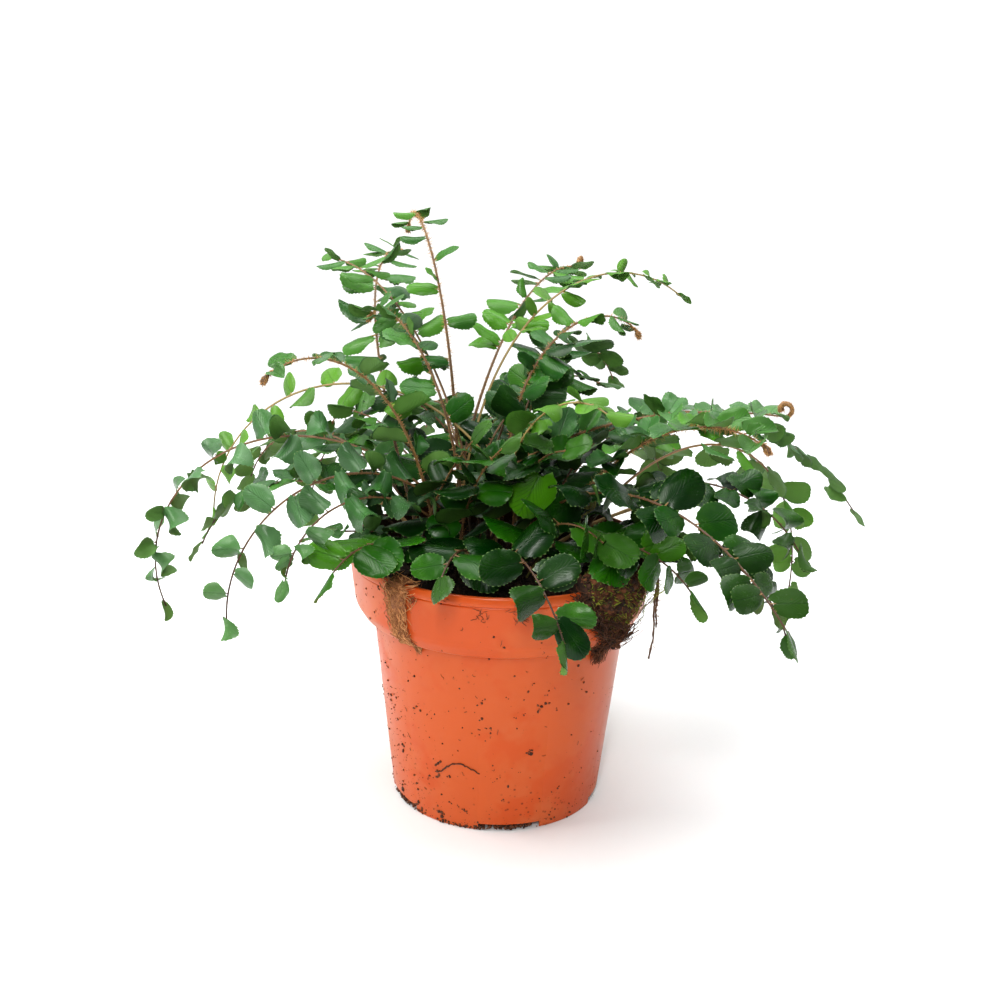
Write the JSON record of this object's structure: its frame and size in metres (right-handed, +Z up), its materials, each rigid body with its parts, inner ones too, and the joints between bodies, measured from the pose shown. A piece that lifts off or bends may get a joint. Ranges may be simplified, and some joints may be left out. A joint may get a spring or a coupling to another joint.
{
  "type": "potted fern",
  "caption": "Button fern with arching wiry fronds of small round leaflets, in a round orange plastic nursery pot with a stepped collar.",
  "frame": {"origin": "middle of the pot's foot, on the floor it stands on", "axes": "+Z up; -Y towards the picture's camera; +X to the right as that camera sees the plant"},
  "size_m": [0.3054, 0.296, 0.2234],
  "materials": {
    "pot_plastic": "satin",
    "peat": "matte",
    "moss_and_peat": "matte",
    "coir_fibre": "matte",
    "root": "matte",
    "fern_green": "satin",
    "young_fern_green": "satin"
  },
  "bodies": {
    "root": {"crozier_back": "young_fern_green", "crozier_right": "young_fern_green", "fibre_tuft": "coir_fibre", "frond_back_1": "fern_green", "frond_back_2": "fern_green", "frond_back_3": "fern_green", "frond_back_4": "fern_green", "frond_back_5": "fern_green", "frond_back_6": "fern_green", "frond_back_left": "fern_green", "frond_back_right": "fern_green", "frond_big_arch": "fern_green", "frond_crown_back": "fern_green", "frond_crown_front": "fern_green", "frond_crown_left": "fern_green", "frond_crown_middle": "fern_green", "frond_crown_right": "fern_green", "frond_front_glossy": "fern_green", "frond_front_left_glossy": "fern_green", "frond_front_left_upright": "fern_green", "frond_front_mid": "fern_green", "frond_front_over_rim": "fern_green", "frond_front_right": "fern_green", "frond_front_upright": "fern_green", "frond_heart": "fern_green", "frond_left_arched": "fern_green", "frond_left_hanging": "fern_green", "frond_left_inner": "fern_green", "frond_left_long": "young_fern_green", "frond_left_low": "fern_green", "frond_left_mid": "fern_green", "frond_left_trailing": "fern_green", "frond_left_upright": "fern_green", "frond_pale_centre": "young_fern_green", "frond_right_coiled": "fern_green", "frond_right_drooping": "fern_green", "frond_right_hairy": "fern_green", "frond_right_level": "fern_green", "frond_right_low": "fern_green", "frond_right_mid": "fern_green", "frond_right_outer": "fern_green", "frond_right_short": "fern_green", "frond_right_thin": "young_fern_green", "frond_tall_hairy": "fern_green", "frond_tall_left": "fern_green", "frond_tall_outer": "fern_green", "growing_medium": "peat", "moss_clump": "moss_and_peat", "pot": "pot_plastic", "root_strands": "root"}
  },
  "joints": []
}
